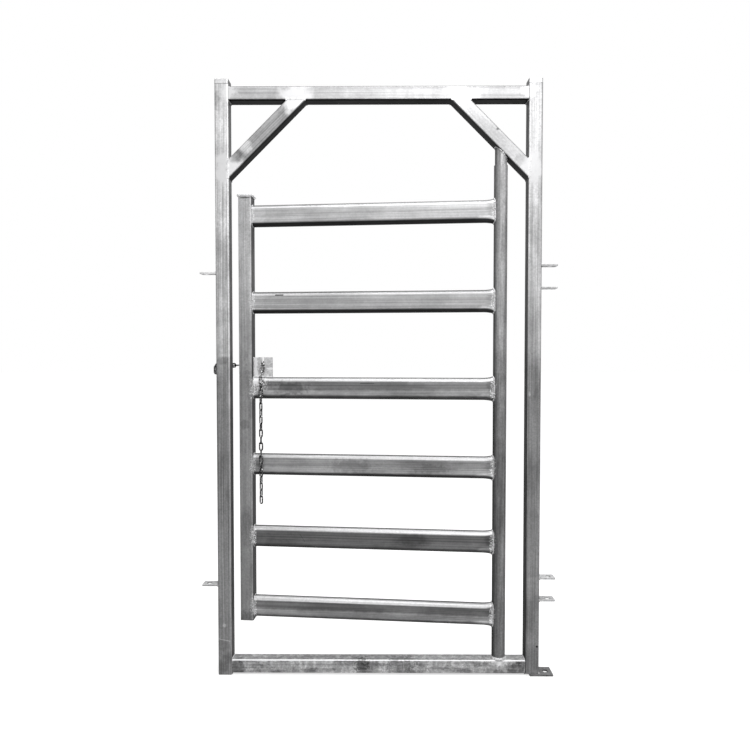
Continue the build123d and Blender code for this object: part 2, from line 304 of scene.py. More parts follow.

# %% Weather group: painted light by the way a surface faces
normal = split_axes(weather_group, add_node(weather_group, "ShaderNodeTexCoord").outputs["Normal"])
facing_out = weather_calc("MULTIPLY", normal["X"], weather_calc("SIGN", weather_place["X"]))
front_share = weather_calc("MULTIPLY", normal["Y"], normal["Y"])
corner_share = weather_calc("MULTIPLY", front_share, weather_calc("SUBTRACT", 1.0, front_share))
past_crest = weather_calc("SUBTRACT", normal["Y"], given["Crest Lean"])
rising = weather_ease(past_crest, -0.4, 0.2)
falling = weather_ease(past_crest, 0.95, 0.55)
on_crest = weather_calc("MULTIPLY", rising, falling)
# Painted light and shade by the way a surface faces: undersides, faces into the opening and the crest
# darker; upward faces, rounded corners and outward faces paler or darker as each finish sets.
put_out(
    weather_group, made,
    Dull=dulled.outputs[0],
    Under=weather_ease(normal["Z"], given["Under From"], given["Under To"]),
    Inward=weather_ease(facing_out, -0.5, -0.98),
    Washed=weather_ease(normal["Z"], given["Wash From"], given["Wash To"]),
    Corner=weather_ease(corner_share, 0.05, 0.22),
    Crest=weather_calc("MULTIPLY", on_crest, weather_ease(normal["Z"], 0.1, 0.4)),
    Outward=weather_ease(facing_out, 0.15, 0.6),
)

# %% [markdown]
# ## Sprayed joints and single marks
# Welding burns the zinc off, so the joints are sprayed with cold zinc afterwards, which dries paler
# than the dipped coat. This group measures how near a surface is to one spot, with a ragged edge. It
# serves for the spray, and for single marks such as the heat stain behind a tack weld.

# %% Spray group
spray_group, given, made = start_group(
    "ragged_spot",
    [("Vector", VECTOR, None), ("Spot", VECTOR, None), ("Reach", FLOAT, 0.05), ("Grain", FLOAT, 22.0),
     ("Fray", FLOAT, 1.2), ("Stretch", VECTOR, None), ("Specks", FLOAT, 0.0)],
    [("Cover", FLOAT)],
)
ragged = noise(spray_group, given["Vector"], given["Grain"], 4.0, 0.6)
from_spot = vector_calc(spray_group, "SUBTRACT", given["Vector"], given["Spot"])["Vector"]
drawn_out = vector_calc(spray_group, "MULTIPLY", from_spot, given["Stretch"])["Vector"]
away = vector_calc(spray_group, "LENGTH", drawn_out)["Value"]
share_away = calc(spray_group, "DIVIDE", away, given["Reach"])
frayed = times(spray_group, calc(spray_group, "SUBTRACT", ragged, 0.5), given["Fray"])
solid_cover = ease(spray_group, calc(spray_group, "ADD", share_away, frayed), 1.35, 0.55)
speck_noise = noise(spray_group, given["Vector"], 230.0, 2.0, 0.5)
gaps = times(spray_group, ease(spray_group, speck_noise, 0.58, 0.5), given["Specks"])
put_out(spray_group, made, Cover=times(spray_group, solid_cover, calc(spray_group, "SUBTRACT", 1.0, gaps)))

# %% Spots
def spot(place, reach, grain=22.0, fray=1.2, stretch=(1, 1, 1), specks=0.0):
    """Inputs of one ragged spot; a stretch under 1 makes it longer that way, specks break it into dots."""
    return {
        "Spot": place, "Reach": reach, "Grain": grain, "Fray": fray, "Stretch": stretch,
        "Specks": specks,
    }


def front_spot(x, z, *shape):
    """A ragged spot on the front faces of the frame."""
    return spot((x, front, z), *shape)


def leaf_spot(u, v, w, *shape, **more):
    """A ragged spot at a place in the leaf's own frame."""
    return spot(in_leaf(u, v, w), *shape, **more)


print("spots ready")

# %% [markdown]
# ## Scratches
# A scratch is a thin straight line on a front face. A texture could be painted with it, but a line
# between two points in the gate's frame needs no picture: a surface is scratched where it is near the
# line and not past its ends. A wide one with soft sides also serves as a band of painted light along
# the pipe, a highlight or a shade by its factor.

# %% Scratches
just_behind = 0.002
well_behind = 0.006


def scratch(tree, place, level, start, end, factor, half_width=0.0009, soft=0.0006, fade=0.0006):
    """The grey with a straight scratch on a front face, soft at its sides, that fades out past its ends."""
    run = Vector(end) - Vector(start)
    middle = (Vector(start) + Vector(end)) / 2
    way = run.normalized()
    across = way.cross(Vector((0, -1, 0)))
    offset = vector_calc(tree, "SUBTRACT", place, middle)["Vector"]
    mask = ease(tree, split_axes(tree, place)["Y"], middle.y + well_behind, middle.y + just_behind)
    for axis, reach, edge in ((across, half_width, soft), (way, run.length / 2, fade)):
        shift = calc(tree, "ABSOLUTE", vector_calc(tree, "DOT_PRODUCT", offset, axis)["Value"])
        mask = times(tree, mask, ease(tree, shift, reach + edge, reach))
    return tinted(tree, level, mask, factor)


def front_line(x_start, z_start, x_end, z_end, factor):
    """A scratch on the front faces of the frame."""
    return ((x_start, front, z_start), (x_end, front, z_end), factor)


print("scratches ready")

# %% [markdown]
# ## The zinc finish
# One function puts the groups together into a material. Each family of tube gets its own copy, with the
# streaks turned to run along it and its own greys. Colour is built up as one number, the grey, which
# then sets all three channels: first the coat, then smudges, then spray and marks, and last painted
# light and shade by the way the surface faces.

# %% Zinc finish
# Usual factors of painted light and shade for the way a surface faces.
usual_facing = {"Corner": 1.25, "Washed": 1.15, "Crest": 1.0, "Inward": 0.28, "Outward": 1.0, "Under": 0.02}
cloud_depth = 0.3
whitest = 0.92
blue_tint = 1.01
shade_gloss = 0.16
dull_gloss = 0.12
specular_level = 0.05
specular_tint = (0.3, 0.3, 0.3, 1)
relief_height = 0.0006
relief_strength = 0.15


def zinc_finish(
    name, clean, dull, turn=(0, 0, 0), fine=110.0, along=2.0, metallic=0.3, rough=0.45, contrast=0.3,
    grain=0.3, fade=(0.95, 1.8), smudge=(9.0, 0.2), smear=(20.0, 0.0), facing=(), wash=(0.2, 0.9),
    shade=(-0.1, -0.75), crest=0.0, joints=(), spray=0.66, marks=(), scratches=(),
):
    """Galvanised steel. Clean and dull are its greys high up and at the ground, the fall between them
    partly yard dirt and partly painted shade. Facing gives factors of painted light and shade for the way
    a surface faces. Joints are sprayed spots, and on the chain painted glints; marks are spots with a
    factor, and scratches are lines with one."""
    finish = bpy.data.materials.new(name)
    finish.use_nodes = True
    tree = finish.node_tree
    shader = tree.nodes["Principled BSDF"]
    place = add_node(tree, "ShaderNodeTexCoord").outputs["Object"]
    turned = add_node(tree, "ShaderNodeMapping", Vector=place, Rotation=turn).outputs[0]
    zinc = use_group(tree, zinc_group, Vector=place)
    streak = use_group(tree, streak_group, Vector=turned, Fine=fine, Along=along)
    along_tube = use_group(tree, smudge_group, Vector=turned, Scale=smudge[0])["Smudge"]
    upright = use_group(tree, smudge_group, Vector=place, Scale=smear[0])["Smudge"]
    weather = use_group(
        tree, weather_group, Vector=place, Ground=fade[0], Clean=fade[1], Wash_From=wash[0], Wash_To=wash[1],
        Under_From=shade[0], Under_To=shade[1], Crest_Lean=crest,
    )
    # The grey falls from clean to dull towards the ground: yard dirt, and painted shade for the light
    # dropping off.
    level = blend_to(tree, weather["Dull"], clean, dull)
    coats = ((zinc["Shade"], cloud_depth), (streak["Streak"], contrast), (zinc["Grain"], grain))
    for uneven, depth in coats:
        level = times(tree, level, calc(tree, "MULTIPLY_ADD", uneven, depth, 1 - depth / 2))
    handled = times(tree, along_tube, calc(tree, "SUBTRACT", 1.0, weather["Washed"]))
    level = tinted(tree, level, handled, 1 - smudge[1])
    level = tinted(tree, level, upright, 1 + smear[1])
    for joint in joints:
        cover = use_group(tree, spray_group, Vector=place, **joint)["Cover"]
        level = blend_to(tree, cover, level, spray)
    for mark, factor in marks:
        cover = use_group(tree, spray_group, Vector=place, **mark)["Cover"]
        level = tinted(tree, level, cover, factor)
    for line in scratches:
        level = scratch(tree, place, level, *line)
    # Painted light and shade by the way the surface faces.
    for output, factor in {**usual_facing, **dict(facing)}.items():
        level = tinted(tree, level, weather[output], factor)
    level = calc(tree, "MINIMUM", level, whitest)
    colour = add_node(tree, "ShaderNodeCombineColor", _0=level, _1=level, _2=times(tree, level, blue_tint))
    tree.links.new(colour.outputs[0], shader.inputs["Base Color"])
    roughness = calc(tree, "MULTIPLY_ADD", zinc["Shade"], shade_gloss, rough - shade_gloss / 2)
    roughness = calc(tree, "MULTIPLY_ADD", weather["Dull"], dull_gloss, roughness)
    tree.links.new(roughness, shader.inputs["Roughness"])
    shader.inputs["Metallic"].default_value = metallic
    shader.inputs["Specular IOR Level"].default_value = specular_level
    shader.inputs["Specular Tint"].default_value = specular_tint
    relief = calc(tree, "ADD", zinc["Height"], streak["Height"])
    bump = add_node(tree, "ShaderNodeBump", Strength=relief_strength, Distance=relief_height, Height=relief)
    tree.links.new(bump.outputs[0], shader.inputs["Normal"])
    return finish


print("zinc finish ready")

# %% [markdown]
# ## Finishes of the posts
# The posts are the same square tube, wiped upright. Pale spray covers the welds at the braces and the
# corners. A heat stain on the left post shows where the chain is tacked on behind, and both feet are
# scuffed. Marks are placed one by one, because a random pattern would never put them at the joints. The
# faces that look into the opening and the outer sides are painted darker, the rounded corners are
# painted paler, most on the left post, and the right post's inner face is painted darker low down, all
# as painted light and shade. A pale upright line runs down each front, and the left post also has a
# painted highlight along its inner corner.

# %% Sprayed joints of the frame
spray_above_bar = 0.012
spray_into_post = 0.004
spray_corner = bar_high.z - 0.017


def brace_joints(side, reach):
    """Sprayed spots where a brace meets the bar and the post."""
    at_bar = side * (post_inner - brace_leg + brace_cut / 2)
    at_post = bar_under - brace_leg + brace_cut / 2
    return [front_spot(at_bar, bar_under + spray_above_bar, reach, 30.0, 1.8),
            front_spot(side * (post_inner + spray_into_post), at_post, reach, 30.0, 1.8)]


left_joints = brace_joints(-1, 0.058)
right_joints = brace_joints(1, 0.058)
post_corners = [front_spot(side * post_inner, spray_corner, 0.028, 60.0, 2.0) for side in (-1, 1)]
print("sprayed joints:", len(left_joints + right_joints + post_corners))

# %% Post finishes
tube_lines = {"fine": 190.0, "along": 2.0, "contrast": 0.55, "grain": 0.25}
tack_stain = (front_spot(-0.556, 1.137, 0.022, 60.0, 2.0, (1, 1, 1.5)), 0.72)
tack_halo = (front_spot(-0.552, 1.158, 0.014, 70.0, 2.0, (0.6, 1, 2)), 1.25)
left_scuffs = [
    (front_spot(-0.574, 2.06, 0.02, 50.0, 2.0, (1.5, 1, 0.6)), 0.7),
    (front_spot(-0.556, 0.181, 0.006, 120.0, 2.0), 1.7),
    (front_spot(-0.566, 0.105, 0.024, 50.0, 2.0), 0.78),
    (front_spot(-0.545, 0.062, 0.022, 50.0, 2.0), 0.75),
    (front_spot(-0.568, 0.03, 0.024, 50.0, 2.0), 0.7),
]
left_post_finish = zinc_finish(
    "zinc_on_left_post", 0.66, 0.255, **tube_lines, fade=(0.95, 1.65), smudge=(12.0, 0.2),
    facing={"Inward": 0.36, "Outward": 0.45, "Corner": 1.8},
    joints=left_joints[1:] + post_corners[:1],
    marks=[tack_stain, tack_halo, *left_scuffs],
    scratches=[
        front_line(-0.578, 0.132, -0.536, 0.123, 2.0),
        # A pale upright line on the front, and a painted highlight along the rounded inner corner.
        front_line(-0.5595, 0.1, -0.5595, 1.7, 1.35),
        front_line(-0.5345, 0.1, -0.5345, 1.7, 1.3),
    ],
)
right_post_finish = zinc_finish(
    "zinc_on_right_post", 0.6, 0.28, **tube_lines, fade=(0.95, 1.6), smudge=(12.0, 0.2),
    facing={"Inward": 0.16, "Outward": 0.6},
    joints=right_joints[1:] + post_corners[1:],
    marks=[
        (front_spot(0.545, 1.1, 0.03, 40.0, 2.0), 0.85),
        (front_spot(0.56, 0.32, 0.04, 30.0, 2.0), 1.2),
        (front_spot(0.56, 0.06, 0.05, 40.0, 2.0), 0.75),
        # Painted shade over the right post's inner face, low down.
        (spot((0.53, 0, 0.3), 0.5, 10.0, 0.5, (80, 1, 1)), 0.55),
        (front_spot(0.539, 1.019, 0.005, 90.0, 1.5, (1.5, 1, 0.6)), 1.7),
    ],
    scratches=[front_line(0.5705, 0.1, 0.5705, 1.4, 1.2)],
)
print("post finishes:", left_post_finish.name, right_post_finish.name)

# %% [markdown]
# ## Finishes of the bar, the braces and the sill
# The same tube again, but lying or leaning, so each has its streaks turned to run along it. The sill is
# stepped on: it is mottled, scraped in places, and stained round the hinge.

# %% Bar, brace and sill finishes
along_x = (0, math.radians(90), 0)
short_lines = {"fine": 190.0, "along": 1.0}
# Painted light: the bar's top and rounded corners are painted darker, the braces' corners too, and the
# sill's rounded front corners carry a strong painted highlight.
bar_finish = zinc_finish(
    "zinc_on_bar", 0.4, 0.3, turn=along_x, **short_lines, contrast=0.35, grain=0.15, smear=(24.0, 0.12),
    facing={"Washed": 0.8, "Corner": 0.3}, spray=0.6,
    joints=left_joints[:1] + right_joints[:1] + post_corners,
)
left_brace_finish = zinc_finish(
    "zinc_on_left_brace", 0.31, 0.26, turn=(0, math.radians(-45), 0), **short_lines, contrast=0.6,
    grain=0.15, facing={"Corner": 0.6}, joints=left_joints, spray=0.72,
    marks=[
        (front_spot(-0.501, 1.862, 0.024, 50.0, 1.5), 0.55),
        (front_spot(-0.472, 1.895, 0.022, 50.0, 1.5), 1.9),
    ],
)
right_brace_finish = zinc_finish(
    "zinc_on_right_brace", 0.52, 0.34, turn=(0, math.radians(45), 0), **short_lines, contrast=0.2, grain=0.2,
    facing={"Corner": 0.5}, joints=brace_joints(1, 0.036), spray=0.66,
    marks=[(front_spot(0.420, 1.955, 0.005, 90.0), 0.4), (front_spot(0.5, 1.85, 0.02, 70.0, 2.0), 0.85)],
)
sill_middle = (sill_low.z + sill_high.z) / 2 - 0.001
sill_finish = zinc_finish(
    "zinc_on_sill", 0.42, 0.40, turn=along_x, contrast=0.5, grain=0.5, smudge=(34.0, 0.45),
    smear=(50.0, 0.45), facing={"Washed": 0.8, "Corner": 4.0}, spray=0.7,
    joints=[front_spot(hinge.x, sill_high.z, 0.03, 120.0, 2.5, (0.8, 1, 1.6))],
    marks=[
        (front_spot(hinge.x, sill_middle, 0.012, 60.0, 1.5, (1.5, 1, 0.4)), 1.3),
        (front_spot(0.5, 0.02, 0.03, 90.0, 3.0), 0.45),
        (front_spot(-0.51, sill_middle, 0.03, 60.0, 2.0), 0.48),
        (front_spot(-0.06, sill_middle, 0.026, 170.0, 5.0, (1.2, 1, 0.5)), 0.42),
        (front_spot(0.08, sill_middle, 0.04, 170.0, 5.0, (0.8, 1, 0.6)), 0.6),
    ],
)
print("frame finishes:", len(bpy.data.materials))

# %% [markdown]
# ## Finishes of the caps, plates and welds
# Caps, lugs and the latch plate are brighter than the tube, and the foot plate in the dirt is darker.
# Welds are sprayed almost white, but the tack behind the left post is darkened by heat. Small plates and
# beads have no rolling direction to show, so most of them have streaks as fine one way as the other. On
# these small pieces the painted shade is softer or left out, and the caps' tops and outer sides are
# painted darker.

# %% Cap, plate and weld finishes
# Painted shade made softer, or left out.
soft_shade = {"Under": 0.3, "Inward": 0.6}
no_shade = {"Under": 1.0, "Inward": 1.0}
all_ways = {"fine": 60.0, "along": 60.0}
bead_look = {"fine": 260.0, "along": 260.0, "contrast": 0.8}
cap_seam = post_high.z + 0.001
seam_start = post_inner + 0.001
seam_end = post_outer - 0.001
cap_finish = zinc_finish(
    "zinc_on_caps", 0.8, 0.5, facing={"Washed": 0.6, "Outward": 0.7},
    scratches=[front_line(side * seam_start, cap_seam, side * seam_end, cap_seam, 0.4) for side in (-1, 1)],
)
lug_finish = zinc_finish("zinc_on_lugs", 0.78, 0.56, facing=no_shade)
foot_finish = zinc_finish(
    "zinc_on_foot_plate", 0.24, 0.2, contrast=0.5, smudge=(30.0, 0.4), facing=soft_shade
)
stile_cap_finish = zinc_finish("zinc_on_stile_cap", 0.95, 0.9, **all_ways, facing=soft_shade)
weld_finish = zinc_finish("zinc_on_welds", 0.85, 0.7, **bead_look, facing={**soft_shade, "Corner": 1.0})
flush_finish = zinc_finish("zinc_on_flush_welds", 0.75, 0.75, **all_ways, facing=no_shade)
cap_weld_finish = zinc_finish(
    "zinc_on_cap_weld", 0.95, 0.95, **all_ways, contrast=0.4, facing={"Under": 0.9, "Inward": 0.6}
)
tack_finish = zinc_finish("burnt_tack_weld", 0.16, 0.14, **bead_look, facing=soft_shade)
print("cap, plate and weld finishes ready")

# %% Latch plate finish
plate_low, plate_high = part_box("latch_plate")
plate_face = 0.003
latch_plate_finish = zinc_finish(
    "zinc_on_latch_plate", 0.64, 0.64, **all_ways, facing=soft_shade, spray=1.0,
    joints=[
        leaf_spot(0.904, plate_face, 1.115, 0.013, 160.0, 2.0, (1, 1, 0.2)),
        leaf_spot(0.875, plate_face, 1.078, 0.010, 160.0, 2.0, (0.3, 1, 1)),
    ],
    # A painted highlight: a short pale band across the plate, standing for a reflection.
    marks=[(leaf_spot(0.843, plate_face, 1.108, 0.006, 60.0, 1.5, (0.5, 1, 1.6)), 1.6)],
)
print("latch plate from", round(plate_low.z, 3), "to", round(plate_high.z, 3))

# %% [markdown]
# ## Finishes of the rails
# Each rail is cut from its own length of tube, so each has its own tone, and the lower rails are also
# darker as painted shade. Its top carries a painted highlight, a clear bright band, and its underside
# painted shade. Weld spatter whitens both ends, and heat marks the zinc beside the stile. At the pipe the
# crimp has a painted highlight low down and a darker patch above it. A painted dark reflection runs
# along each crest, further to the front on the higher rails.

# %% Stains and scratches of the rails
rail_tall = 0.08
rail_deep = 0.04
rail_face = rail_deep / 2
rail_stains = {
    3: [(leaf_spot(0.764, rail_face, 1.036, 0.030, 60.0, 3.0, (0.5, 1, 1.2)), 0.6)],
    4: [(leaf_spot(0.541, rail_face, 0.751, 0.030, 60.0, 3.0, (0.4, 1, 1.2)), 0.75),
        (leaf_spot(0.242, rail_face, 0.745, 0.020, 60.0, 3.0, (0.35, 1, 1.2)), 0.7),
        (leaf_spot(0.893, rail_face, 0.745, 0.020, 60.0, 1.5, (0.8, 1, 0.8)), 0.55)],
    5: [(leaf_spot(0.309, rail_face, 0.480, 0.020, 40.0, 1.0, (0.32, 1, 0.9)), 0.55)],
}
rail_scratches = {
    2: [(in_leaf(0.819, 0.0187, 1.379), in_leaf(0.788, 0.0187, 1.379), 0.12, 0.002)],
    3: [(in_leaf(0.504, 0.0195, 1.055), in_leaf(0.453, 0.0195, 1.055), 0.45, 0.001)],
    5: [(in_leaf(0.729, rail_face, 0.494), in_leaf(0.710, rail_face, 0.466), 0.7, 0.001)],
}
print("stained rails:", list(rail_stains), "scratched rails:", list(rail_scratches))

# %% Spatter, heat and painted light at the rails' ends
crimp_face = 0.016
crimp_edge = 0.026
latch_rail = 3
speckle = {"grain": 120.0, "fray": 2.0, "specks": 0.9}


def rail_spatter(number, z):
    """Sprayed and spattered spots at both ends of a rail, and over the latch rail's end."""
    spatter = [leaf_spot(rail_end - 0.004, rail_face, z, 0.007, stretch=(1, 1, 0.14), **speckle),
               leaf_spot(crimp_edge, crimp_face, z, 0.008, stretch=(1, 1, 0.2), **speckle)]
    if number == latch_rail:
        spatter.append(leaf_spot(0.885, 0.015, z + 0.02, 0.034, **speckle))
        spatter.append(leaf_spot(0.893, 0.012, z + 0.03, 0.022, 60.0, 1.5))
    return spatter


def rail_heat(z, burnt, gain):
    """A heat mark at the stile end, a painted highlight and a darker patch on the crimp at the pipe end,
    and the paler band along the lower half.
    """
    return [(leaf_spot(0.885, rail_face, z, 0.028, 60.0, 2.0, (1, 1, 0.55)), 1.15),
            (leaf_spot(0.05, crimp_face, z - 0.028, 0.016, 60.0, 1.0, (0.5, 1, 1.6)), 1.6),
            (leaf_spot(0.038, crimp_face, z + 0.008, 0.015, 50.0, 1.5), burnt),
            (leaf_spot(0.46, rail_face, z - 0.016, 0.013, 30.0, 1.5, (0.012, 0.1, 1)), gain)]


print("rail ends at", crimp_edge, "and", round(rail_end, 4))

# %% Rail finishes
# Each rail's own tone, with the lower rails darker as painted shade. The second list sets the painted
# highlight band on each rail's top, and the fourth list the painted shade underneath.
rail_tones = (0.455, 0.40, 0.26, 0.325, 0.15, 0.2)
washed_tones = (0.95, 0.55, 0.74, 0.63, 0.68, 0.69)
lower_gains = (1.06, 1.1, 1.6, 1.35, 1.25, 1.8)
under_factors = (0.05, 0.07, 0.27, 0.17, 0.5, 0.7)
upper_rails = 2
# The painted dark reflection along the crest sits further to the front on the higher rails.
steepest_crest = -0.73
gentlest_crest = -0.22
along_leaf = (Matrix.Rotation(math.radians(90), 3, "Y") @ Matrix.Rotation(ajar, 3, "Z")).to_euler()
rail_finishes = []
rail_looks = zip(rail_tones, washed_tones, lower_gains, under_factors, rail_heights)
for number, (tone, washed, gain, under, z) in enumerate(rail_looks, start=1):
    share_up = (z - rail_heights[-1]) / (rail_heights[0] - rail_heights[-1])
    burnt, smudged = (0.85, 0.12) if number <= upper_rails else (0.72, 0.3)
    lean = gentlest_crest + (steepest_crest - gentlest_crest) * share_up
    # Painted light: a highlight band on the top, a dark reflection along the crest, and shade underneath.
    rail_finishes.append(zinc_finish(
        f"zinc_on_rail_{number}", tone, tone, turn=along_leaf, fine=200.0, along=0.9, contrast=0.5,
        grain=0.12, smudge=(8.0, smudged), wash=(0.12, 0.45), shade=(-0.12, -0.5), crest=lean,
        facing={"Washed": washed / tone, "Corner": 1.0, "Crest": 0.15, "Under": under},
        joints=rail_spatter(number, z), spray=0.85, scratches=rail_scratches.get(number, []),
        marks=rail_heat(z, burnt, gain) + rail_stains.get(number, []),
    ))
print("rail finishes:", len(rail_finishes))

# %% [markdown]
# ## Finishes of the stile and the hinge pipe
# Both stand upright and take weld spatter at every rail. The stile has a painted shadow, a thin dark
# line, under its cap. The round pipe has painted highlights and painted shade in wide soft bands along
# it, which are drawn as wide scratches, and its inner side is painted darker and its outer side paler.

# %% Stile finish
stile_face = tube / 2
cap_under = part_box("stile_cap")[0].z
# Painted shadow: a thin dark line under the stile's cap.
shadow_level = cap_under - 0.0092
cap_shadow = (leaf_spot(stile_middle, stile_face, shadow_level, 0.0020, 90.0, 1.0, (0.08, 0.1, 1)), 0.15)
stile_spatter = [leaf_spot(rail_end + 0.002, stile_face, z, 0.010, stretch=(1, 1, 0.22), **speckle)
                 for z in rail_heights]
stile_finish = zinc_finish(
    "zinc_on_stile", 0.55, 0.345, **{**tube_lines, "contrast": 0.35}, smudge=(12.0, 0.25), spray=0.7,
    joints=stile_spatter,
    marks=[
        (leaf_spot(0.93, stile_face, 0.175, 0.03, 50.0, 2.0), 0.6),
        (leaf_spot(0.935, stile_face, 0.9, 0.018, 50.0, 2.0), 0.75),
        (leaf_spot(0.912, stile_face, 1.125, 0.02, 70.0, 2.5, (1, 1, 0.6)), 1.3),
        cap_shadow,
    ],
)
print("stile finish", stile_finish.name)

# %% Hinge pipe finish
def pipe_band(x, low, high, factor, half_width, soft=0.004, fade=0.12):
    """A band of painted light along the front of the pipe, a highlight where the factor is above 1 and
    shade where it is below, as a wide soft scratch.
    """
    y = -math.sqrt(pipe_radius ** 2 - (x - hinge.x) ** 2)
    return ((x, y, low), (x, y, high), factor, half_width, soft, fade)


pipe_finish = zinc_finish(
    "zinc_on_pipe", 0.378, 0.187, metallic=0.25, spray=0.75, contrast=0.5, along=5.0,
    facing={"Inward": 0.3, "Outward": 1.4, "Corner": 1.0},
    joints=[leaf_spot(0.022, 0.012, z, 0.010, stretch=(1, 1, 0.25), **speckle) for z in rail_heights],
    # Bands of painted highlight (factor above 1) and painted shade (below 1) along the pipe.
    scratches=[
        pipe_band(0.4410, 1.40, 1.83, 1.26, 0.002),
        pipe_band(0.4240, 1.60, 1.83, 0.74, 0.005),
        pipe_band(0.4540, 1.30, 1.83, 0.75, 0.004),
        pipe_band(0.4365, 1.00, 1.25, 1.46, 0.004),
        pipe_band(0.4230, 0.10, 0.70, 0.80, 0.005),
        pipe_band(0.4450, 0.10, 1.00, 1.16, 0.005),
    ],
)
print("pipe finish", pipe_finish.name)

# %% [markdown]
# ## Finishes of the chain
# Chain is dipped in bulk and rubs on itself, so it is darker and shinier than the rest, and its near-black
# grey also stands in for the shade among the links, as painted shade. Bright specks on it are painted
# glints, and its upward bends get a strong painted highlight. The links at the slot get brighter painted
# glints, and the loose end at the post is painted darker still, as painted shade, with no glints.

# %% Chain finishes
# Painted glints: bright specks over the chain.
chain_glints = spot((-0.5, 0.02, 0.95), 0.5, specks=1.0)
# Painted light on the chain: a strong highlight on upward bends, and shade underneath and inward.
chain_facing = {"Under": 0.35, "Inward": 0.8, "Washed": 12.0, "Corner": 1.0}
wire_look = {"fine": 200.0, "along": 200.0, "metallic": 0.4, "rough": 0.3, "wash": (0.3, 0.7)}
rubbed_look = {**wire_look, "joints": [chain_glints], "facing": chain_facing}
chain_finish = zinc_finish("zinc_on_chain", 0.03, 0.025, spray=0.25, **rubbed_look)
slot_chain_finish = zinc_finish("zinc_on_slot_chain", 0.03, 0.025, spray=0.7, **rubbed_look)
# Painted shade: the loose end at the post is darker, with no glints and only a weak highlight.
shaded_chain_finish = zinc_finish(
    "zinc_on_shaded_chain", 0.015, 0.015, **wire_look, facing={**chain_facing, "Washed": 1.5}
)
print("all finishes:", len(bpy.data.materials))

# %% [markdown]
# ## Finishes on the pieces
# Every piece of the solid model gets its finish by a word in its name. The first word that fits counts,
# so the stile's cap comes before the other caps.

# %% Give every piece its finish
finish_by_word = {
    "chain": chain_finish, "tail_link": chain_finish, "stile_cap": stile_cap_finish, "cap": cap_finish,
    "lug": lug_finish, "latch_plate": latch_plate_finish, "foot_plate": foot_finish,
    "rail": rail_finishes[0], "collar": weld_finish, "pipe": pipe_finish, "stub": pipe_finish,
    "left_brace": left_brace_finish, "right_brace": right_brace_finish, "bar": bar_finish,
    "sill": sill_finish, "stile": stile_finish, "left_post": left_post_finish,
    "right_post": right_post_finish,
}
for name, piece in nodes.items():
    piece.active_material = next(finish for word, finish in finish_by_word.items() if word in name)
print("finished pieces:", len(nodes))

# %% [markdown]
# ## From a node tree to a plain mesh
# A Geometry Nodes tree is a recipe. The helpers below start and end a tree, put it on an object as a
# modifier, set its named inputs by their identifiers, evaluate it once, and keep the result as a plain
# mesh that needs no modifier.

# %% Tree helpers
GEOMETRY = "NodeSocketGeometry"
MATERIAL = "NodeSocketMaterial"


def start_tree(name, sizes):
    """A Geometry Nodes tree that is given a geometry, named sizes and a material."""
    inputs = [("Geometry", GEOMETRY, None), *sizes, ("Material", MATERIAL, None)]
    return start_group(name, inputs, [("Geometry", GEOMETRY)], "GeometryNodeTree")


def end_tree(tree, geometry, material, made):
    """Realizes the tree's instances, coats them and puts them out."""
    plain = add_node(tree, "GeometryNodeRealizeInstances", Geometry=geometry)
    coated = add_node(tree, "GeometryNodeSetMaterial", Geometry=plain.outputs[0], Material=material)
    put_out(tree, made, Geometry=coated.outputs[0])


print("tree helpers ready")

# %% Pieces
crease = math.radians(40)
all_smooth = math.radians(180)


def place_piece(name, mesh, body, replaced=(), sharp=crease):
    """An object with that mesh, smooth but for its sharp edges, that rides on a body."""
    mesh.shade_smooth()
    mesh.set_sharp_from_angle(angle=sharp)
    piece = bpy.data.objects.new(name, mesh)
    bpy.context.scene.collection.objects.link(piece)
    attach(piece, body)
    if replaced:
        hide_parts(*replaced)
    print(name, "faces", len(mesh.polygons), "on", body)
    return piece


def grown_piece(name, tree, seed_mesh, body, slot, replaced=(), sharp=crease, **inputs):
    """A piece grown by a tree from a seed mesh, as a plain mesh that rides on a body."""
    seed = bpy.data.objects.new(name + "_seed", seed_mesh)
    bpy.context.scene.collection.objects.link(seed)
    modifier = seed.modifiers.new("grow", "NODES")
    modifier.node_group = tree
    sockets = {item.name: item.identifier for item in tree.interface.items_tree if item.in_out == "INPUT"}
    for label, value in inputs.items():
        modifier[sockets[label]] = value
    bpy.context.view_layer.update()
    mesh = bpy.data.meshes.new_from_object(seed.evaluated_get(bpy.context.evaluated_depsgraph_get()))
    mesh.name = name
    seed.modifiers.clear()
    bpy.data.objects.remove(seed)
    return place_piece(name, mesh, body, replaced, sharp)


print("piece helpers ready")

# %% [markdown]
# ## Oval rails
# Each rail is an oval tube whose hinge end is crimped: it spreads up and down, is squeezed front to
# back, and is cut to a saddle round the pipe. The shape follows a rule, so one tree makes all six. A
# flat grid is the sheet that gets rolled: one way round the oval, the other way out along the outside
# and back along the inside.

# %% Rail tree
rail_wall = 0.002
crimp_length = 0.036
crimp_spread = 0.0045
crimp_squeeze = 0.006
points_around = 72
stations = 24
rows = 2 * stations + 3
rail_tree, given, made = start_tree("crimped_oval_rail", [
    ("Length", FLOAT, rail_end), ("Tall", FLOAT, rail_tall), ("Deep", FLOAT, rail_deep),
    ("Wall", FLOAT, rail_wall), ("Crimp", FLOAT, crimp_length), ("Spread", FLOAT, crimp_spread),
    ("Squeeze", FLOAT, crimp_squeeze), ("Pipe Radius", FLOAT, pipe_radius),
])
rail_calc = partial(calc, rail_tree)
sheet = add_node(rail_tree, "GeometryNodeMeshGrid", _0=1.0, _1=1.0, _2=points_around + 1, _3=rows)
on_sheet = split_axes(rail_tree, add_node(rail_tree, "GeometryNodeInputPosition").outputs[0])
row = rail_calc("ROUND", rail_calc("MULTIPLY", rail_calc("ADD", on_sheet["Y"], 0.5), rows - 1.0))
row = rail_calc("MODULO", row, rows - 1.0)
inner = rail_calc("GREATER_THAN", row, stations + 0.5)
back_row = rail_calc("SUBTRACT", 2 * stations + 1.0, row)
